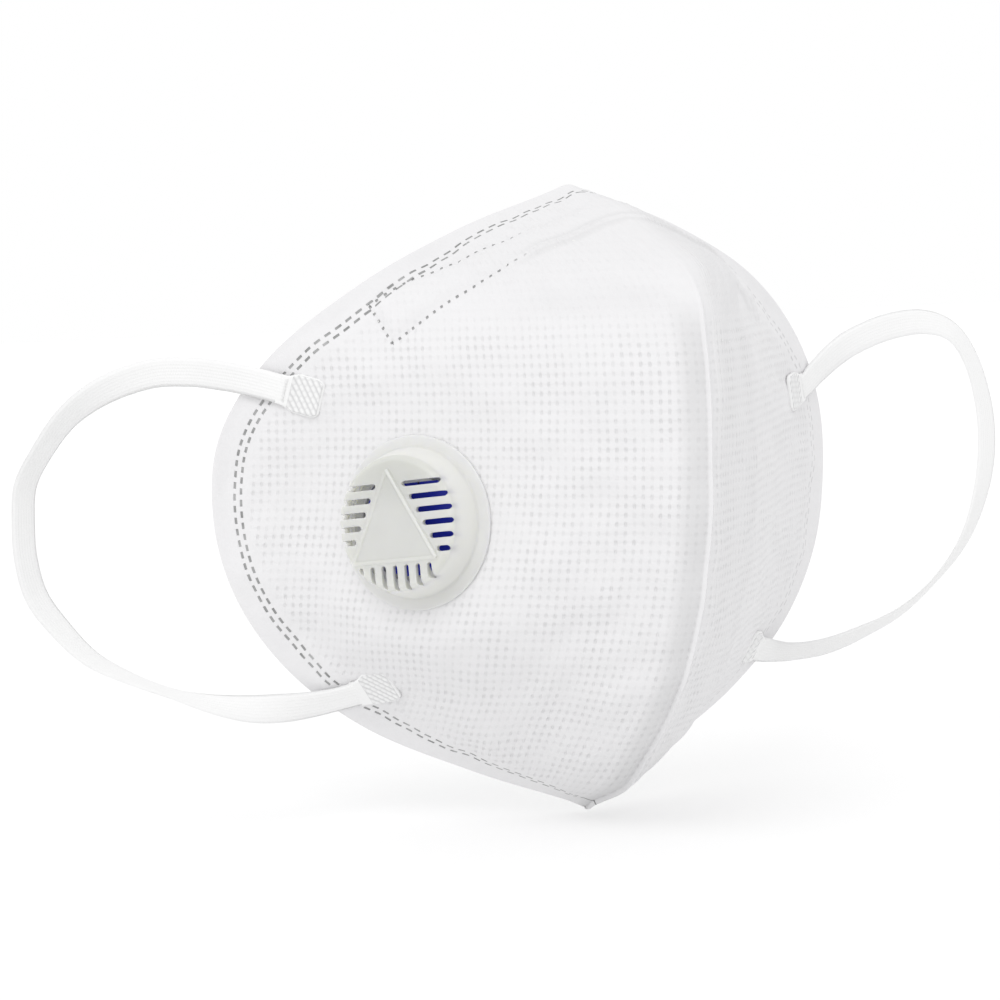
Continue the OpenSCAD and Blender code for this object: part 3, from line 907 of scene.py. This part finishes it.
LEFT_ROUTE = (
    (0.0728, 0.0160, 0.0236), (0.0761, 0.0192, 0.0247), (0.0800, 0.0206, 0.0274),
    (0.0848, 0.0204, 0.0312), (0.0904, 0.0198, 0.0346), (0.1010, 0.0200, 0.0380),
    (0.1130, 0.0210, 0.0390), (0.1220, 0.0210, 0.0360), (0.1280, 0.0210, 0.0280),
    (0.1310, 0.0200, 0.0160), (0.1310, 0.0190, 0.0040), (0.1280, 0.0180, -0.0080),
    (0.1210, 0.0160, -0.0200), (0.1100, 0.0140, -0.0300), (0.0980, 0.0120, -0.0370),
    (0.0850, 0.0116, -0.0416), (0.0760, 0.0138, -0.0444), (0.0686, 0.0169, -0.0454),
    (0.0632, 0.0183, -0.0450), (0.0590, 0.0169, -0.0440), (0.0562, 0.0138, -0.0432),
)  # fmt: skip
LEFT_TURN = (-26, -31, -29, -18, -5, 5, 22, 42, 46, 42, 40, 46, 58, 70, 62, 50, 44, 40, 25, 3, -6)
LOOP_RINGS = 240
INTO_TAB = 0.0012  # the strap is drawn on into its pressed end


def make_ear_loop(side, route, turn, material):
    """One ear loop from tab to tab."""
    t = np.linspace(0, 1, LOOP_RINGS + 1)
    line = spline(route, t)
    way = unit(spline(route, np.minimum(t + 0.002, 1)) - spline(route, np.maximum(t - 0.002, 0)))
    flat = unit(np.cross(way, FRONT_QUARTER))
    face = np.cross(flat, way)
    a = np.radians(spline(turn, t))[:, None]
    wide = np.cos(a) * flat + np.sin(a) * face
    thick = np.cos(a) * face - np.sin(a) * flat
    first, last = line[0] - way[0] * INTO_TAB, line[-1] + way[-1] * INTO_TAB
    line = np.concatenate(([first], line, [last]))
    wide, thick = (np.concatenate((v[:1], v, v[-1:])) for v in (wide, thick))
    piece = ribbon(f"{side}_ear_loop_strap", line, wide, thick, material)
    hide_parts(f"{side}_ear_loop")
    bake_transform(piece)


elastic = knitted("elastic", (0.86, 0.86, 0.86))
make_ear_loop("right", RIGHT_ROUTE, RIGHT_TURN, elastic)
make_ear_loop("left", LEFT_ROUTE, LEFT_TURN, elastic)

# ---- Weld tabs ----

TAB_L, TAB_W = 0.0096, 0.0094
TAB_CELLS = (112, 94)
TAB_PLACES = {  # latitude, share of the row, and turn in degrees
    "right_upper": (68, 0.85, 16),
    "right_lower": (124, 0.79, -15),
    "left_upper": (72.5, 0.85, 7),
    "left_lower": (123.5, 0.81, -10),
}
ROW_PITCH, BUMP_PITCH = 1.25, 1.6
ROW_TURN = math.radians(48)


def make_tab(name, place, side, material):
    """The strap's end, pressed flat on the fabric with slanted rows of small raised pads."""
    p, z = on_panel(place[0], place[1], side)
    q, _ = on_panel(place[0], place[1] + 0.05, side)
    y = unit(np.cross(z, q - p)) * side
    x = np.cross(y, z) * side
    turn = math.radians(place[2])
    x, y = math.cos(turn) * x + math.sin(turn) * y, math.cos(turn) * y - math.sin(turn) * x
    end = TAB_L / 2 + 1.5 * MM
    steps = [np.linspace(low, high, n + 1) for low, high, n in zip((-TAB_L / 2, -1), (end, 1), TAB_CELLS)]
    along, w = np.meshgrid(*steps, indexing="ij")
    to_strap = smooth((along - 1.5 * MM) / (3.6 * MM))
    rounded = np.clip(1 - (along + TAB_L / 2) / (2.6 * MM), 0, 1)
    half = TAB_W / 2 * (1 - 0.35 * (1 - np.sqrt(1 - rounded**2)))
    across = w * (half * (1 - to_strap) + STRAP_W / 2 * 1.01 * to_strap)
    a = (across * math.cos(ROW_TURN) - along * math.sin(ROW_TURN)) / (ROW_PITCH * MM)
    b = (along * math.cos(ROW_TURN) + across * math.sin(ROW_TURN)) / (BUMP_PITCH * MM)
    row = np.floor(a)
    bump = np.abs(np.sin(math.pi * (a - row))) ** 0.8
    bump = bump * (0.5 + 0.5 * np.abs(np.cos(math.pi * (b + 0.5 * row))) ** 0.6)
    border = smooth((1 - np.abs(w)) / 0.12) * smooth((along + TAB_L / 2) / (0.7 * MM))
    pressed = border * smooth((4.2 * MM - along) / (1.6 * MM))
    height = 0.20 * MM * bump * pressed
    tab_top, strap_top = (0.30 + 0.42 * border) * MM, (1.38 + 0.10 * border) * MM
    top = tab_top * (1 - to_strap) + strap_top * to_strap + height
    low = -0.3 * MM * (1 - to_strap) + 0.66 * MM * to_strap
    point = p + along[..., None] * x + across[..., None] * y
    sheets = [point + v[..., None] * z for v in (top, low)]
    shown = np.where(pressed > 0.5, height, 0.3 * MM)
    layers = {"Strap": np.stack((along, across), -1), "Relief": np.stack((shown, shown), -1)}
    if side > 0:
        sheets = [v[:, ::-1] for v in sheets]
        layers = {k: v[:, ::-1] for k, v in layers.items()}
    piece = closed_sheet(f"{name}_weld", *sheets, np.ones(TAB_CELLS, bool), layers, material)
    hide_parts(f"{name}_tab")
    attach(piece, "right_half" if side < 0 else "left_half")


weld = welded("weld_tab", (0.86, 0.86, 0.86))
for name, place in TAB_PLACES.items():
    make_tab(name, place, -1 if name.startswith("right") else 1, weld)

# ---- Valve, drawn in millimetres in its own frame: Z points away from the fabric's outer face ----

SLOT_W = 1.3
SLOT_PITCH = 3.1
SLOT_FLOOR = 4.6
TOP_SLOT_Y, LOW_SLOT_Y = 8.8, -9.6
TRIANGLE_TOP, TRIANGLE_LOW, TRIANGLE_SLOPE, TRIANGLE_RIM = 12.6, -8.6, 0.52, 1.6
HIGH_BAR, LOW_BAR = 0.32, 0.16
FRONT_SHIFT = -0.9
SKIRT_R = 17.2
WALL = 1.2
PLAY = 0.1
PORT_R = 10.5
HINGE_Y = 9.2
LAND_W = 0.8
LIP_TOP = 2.2
FLAP_R, FLAP_T = 12.4, 0.4


def triangle_half(y):
    """Half the width that the slots leave for the triangle at this height."""
    return (TRIANGLE_TOP - y) * TRIANGLE_SLOPE + TRIANGLE_RIM


def capsule(x0, x1, y, half):
    """Outline of a slot with round ends."""
    return arc(x1 - half, y, half, -90, 90, 9) + arc(x0 + half, y, half, 90, 270, 9)


def place_valve(piece, body, node):
    piece.matrix_world = VALVE_PLACE
    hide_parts(node)
    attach(piece, body)


def make_valve_cover(material):
    """A flange, a leaning wall and a flat front with a triangle of raised bars and slots round it."""
    rim, front, skirt = FLANGE_R / MM, FRONT_R / MM, SKIRT_R
    top = COVER_H / MM
    neck = NECK_R / MM + PLAY
    outline = [(neck, 0), (rim - 0.25, 0)]
    outline += arc(rim - 0.4, 0.4, 0.4, -60, 80, 6)
    outline += [(rim - 1.0, 0.98), (skirt + 1.1, 1.28)]
    outline += arc(skirt + 0.95, 2.05, 0.75, 260, 190, 6)
    outline += [(front + 0.95, top - 3.2), (front + 0.55, top - 2.0)]
    outline += arc(front - 1.15, top - 1.7, 1.7, 14, 90, 10)
    outline += [(0, top + 0.05), (0, top - WALL)]
    outline += [(front - 2.2, top - WALL), (front - 1.0, top - 2.2)]
    outline += [(skirt - WALL - 0.2, 2.0), (neck, 2.0)]
    cover = revolve("valve_cover_shell", outline, 144)

    half = triangle_half(TRIANGLE_LOW) - TRIANGLE_RIM + 0.3
    tip = Vector((FRONT_SHIFT - 0.3, TRIANGLE_TOP - 0.2, 0))
    left, right = (Vector((FRONT_SHIFT + x, TRIANGLE_LOW, 0)) for x in (-half, half))
    bars = ((tip, right, HIGH_BAR), (tip, left, LOW_BAR), (left, right, LOW_BAR))
    apply_boolean(cover, [bar_between(a, b, 0.95, top - 0.5, height) for a, b, height in bars], "UNION")

    slots = []
    for sign, count in ((-1, 5), (1, 6)):
        for k in range(count):
            y = TOP_SLOT_Y - k * SLOT_PITCH
            near, far = triangle_half(y), math.sqrt((front + 0.3) ** 2 - y * y)
            x0, x1 = (FRONT_SHIFT + near, far) if sign > 0 else (-far - 0.6, FRONT_SHIFT - near)
            slots.append(capsule(x0, x1, y, SLOT_W / 2))
    for k in range(-3, 4):
        x = FRONT_SHIFT + k * SLOT_PITCH
        y0 = -math.sqrt((front + 0.5) ** 2 - x * x)
        slots.append([(b, a) for a, b in capsule(y0, LOW_SLOT_Y, x, SLOT_W / 2)][::-1])
    apply_boolean(cover, [prism("slot", outline, SLOT_FLOOR, top + 2) for outline in slots], "DIFFERENCE")
    only_material(cover, material)
    bevelled(cover, 0.14 * MM)
    place_valve(cover, "right_half", "valve_cover")


def bar_between(a, b, width, base, height):
    """A low rounded bar on the valve's front, from a to b."""
    way = (b - a).normalized()
    side = Vector((-way.y, way.x, 0)) * width / 2
    half = [(0.55, 0.5 + height), (1, 0.5 + 0.35 * height), (1, 0)]
    section = [(-x, y) for x, y in half[::-1]] + half
    points = []
    for end in (a, b):
        points += [(end + side * s + Vector((0, 0, base + h))) * MM for s, h in section]
    n = len(section)
    faces = [(i, (i + 1) % n, n + (i + 1) % n, n + i) for i in range(n)]
    faces += [tuple(range(n - 1, -1, -1)), tuple(range(n, 2 * n))]
    return tidied(new_object("bar", points, faces, None, smooth_faces=False))


def make_valve_seat(material):
    """A flange behind the fabric, a neck through it, a lip, three crossing bars and the flap's land."""
    back, under = -(STACK_T + FLANGE_T) / MM, -STACK_T / MM
    rim, neck = FLANGE_R / MM - 0.4, NECK_R / MM
    outline = [(PORT_R, back + 0.3), (PORT_R + 0.3, back), (rim - 0.8, back)]
    outline += arc(rim - 0.6, back + 0.6, 0.6, -90, 0, 5)
    outline += [(rim, under), (neck, under), (neck, 1.4), (PORT_R + 1.0, 1.4)]
    outline += [(PORT_R + 0.9, LIP_TOP), (PORT_R, LIP_TOP)]
    seat = revolve("valve_seat_body", outline, 120)
    bars = []
    for turn in (0, 60, 120):
        bar = prism("spoke", box_outline(PORT_R + 0.5, 0.6), back, under)
        bar.data.transform(Matrix.Rotation(math.radians(turn), 4, "Z"))
        bars.append(bar)
    low, high = back - 0.02, under + 0.1
    hub = revolve("hub", [(0, low), (1.7, low), (1.9, under - 0.8), (1.9, high), (0, high)], 40)
    start = math.degrees(math.asin((HINGE_Y - LAND_W) / (PORT_R + 0.4)))
    land = prism("land", arc(0, 0, PORT_R + 0.4, start, 180 - start, 17), back, LIP_TOP - 0.02)
    apply_boolean(seat, [*bars, hub, land], "UNION")
    only_material(seat, material)
    bevelled(seat, 0.12 * MM)
    place_valve(seat, "right_half", "valve_seat")


def make_diaphragm(material):
    """Thin flap, clamped along its straight upper edge and curled up a little at the lower one."""
    rings, n = 14, 96
    points, faces = [], []
    for face in (0, 1):
        for i in range(rings + 1):
            for k in range(n):
                a = 2 * math.pi * k / n
                r = FLAP_R * i / rings
                x, y = r * math.cos(a), min(r * math.sin(a), HINGE_Y)
                lift = 0.25 * max(0, (2 - y) / 14) ** 2
                points.append((x * MM, y * MM, (LIP_TOP + FLAP_T * face + lift) * MM))
    layer = (rings + 1) * n
    for i in range(rings):
        for k in range(n):
            j = (k + 1) % n
            quad = (i * n + k, (i + 1) * n + k, (i + 1) * n + j, i * n + j)
            faces.append(tuple(layer + q for q in quad))
            faces.append(tuple(reversed(quad)))
    for k in range(n):
        j = (k + 1) % n
        faces.append((rings * n + k, rings * n + j, layer + rings * n + j, layer + rings * n + k))
    flap = tidied(new_object("valve_flap", points, faces, material), merge=True)
    place_valve(flap, "diaphragm", "valve_diaphragm")


valve_plastic = moulded("valve_plastic", (0.76, 0.76, 0.73), 0.42)
make_valve_cover(valve_plastic)
make_valve_seat(valve_plastic)
make_diaphragm(silicone("flap_rubber", (0.016, 0.035, 0.72)))
only_material(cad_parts["valve_clip"], valve_plastic)

# ---- Floor, light and camera ----


FLOOR_SIZE = 12.0
WORLD_STRENGTH = 0.92
SUN_ENERGY, SUN_ANGLE = 0.62, math.radians(30)
SUN_FROM = (-0.46, -0.42, 0.78)


def make_floor():
    """A plain floor that glows a little, so that the shadow stays faint."""
    g = Graph("floor", (0.45, 0.45, 0.45), 0.9)
    g.shader.inputs["Emission Color"].default_value = (1, 1, 1, 1)
    g.shader.inputs["Emission Strength"].default_value = 0.455
    low = cad_bounds[0].z - 1.2 * MM
    corners = [(x, y, low) for x, y in box_outline(FLOOR_SIZE / 2, FLOOR_SIZE / 2)]
    new_object("floor", corners, [(0, 1, 2, 3)], g.material, smooth_faces=False)


def make_light():
    world = bpy.data.worlds.new("studio")
    bpy.context.scene.world = world
    world.use_nodes = True
    background = world.node_tree.nodes["Background"].inputs
    background["Color"].default_value = (1, 1, 1, 1)
    background["Strength"].default_value = WORLD_STRENGTH
    lamp = bpy.data.lights.new("key", "SUN")
    lamp.energy, lamp.angle = SUN_ENERGY, SUN_ANGLE
    key = bpy.data.objects.new("key", lamp)
    key.rotation_euler = Vector(SUN_FROM).to_track_quat("Z", "Y").to_euler()
    bpy.context.scene.collection.objects.link(key)


VIEW_AZIMUTH, VIEW_ELEVATION, VIEW_ROLL = np.radians((-25, 5, 1.8))
VIEW_DISTANCE = 0.635
VIEW_LENS = 93.7
VIEW_AIM = math.radians(1.716)  # the mask stands this far right of the middle of the frame


def make_camera():
    back = Vector(direction(VIEW_AZIMUTH, VIEW_ELEVATION))
    data = bpy.data.cameras.new("camera")
    data.lens = VIEW_LENS
    data.sensor_width = 36
    data.clip_start, data.clip_end = 0.01, 50
    camera = bpy.data.objects.new("camera", data)
    look = (-back).to_track_quat("-Z", "Y").to_matrix().to_4x4()
    roll = Matrix.Rotation(-VIEW_ROLL, 4, "Z")
    aim = Matrix.Rotation(VIEW_AIM, 4, "Y")
    camera.matrix_world = Matrix.Translation(back * VIEW_DISTANCE) @ look @ roll @ aim
    bpy.context.scene.collection.objects.link(camera)
    bpy.context.scene.camera = camera


make_floor()
make_light()
make_camera()
bpy.context.scene.view_settings.view_transform = "Standard"
bpy.context.scene.view_settings.exposure = 0.12
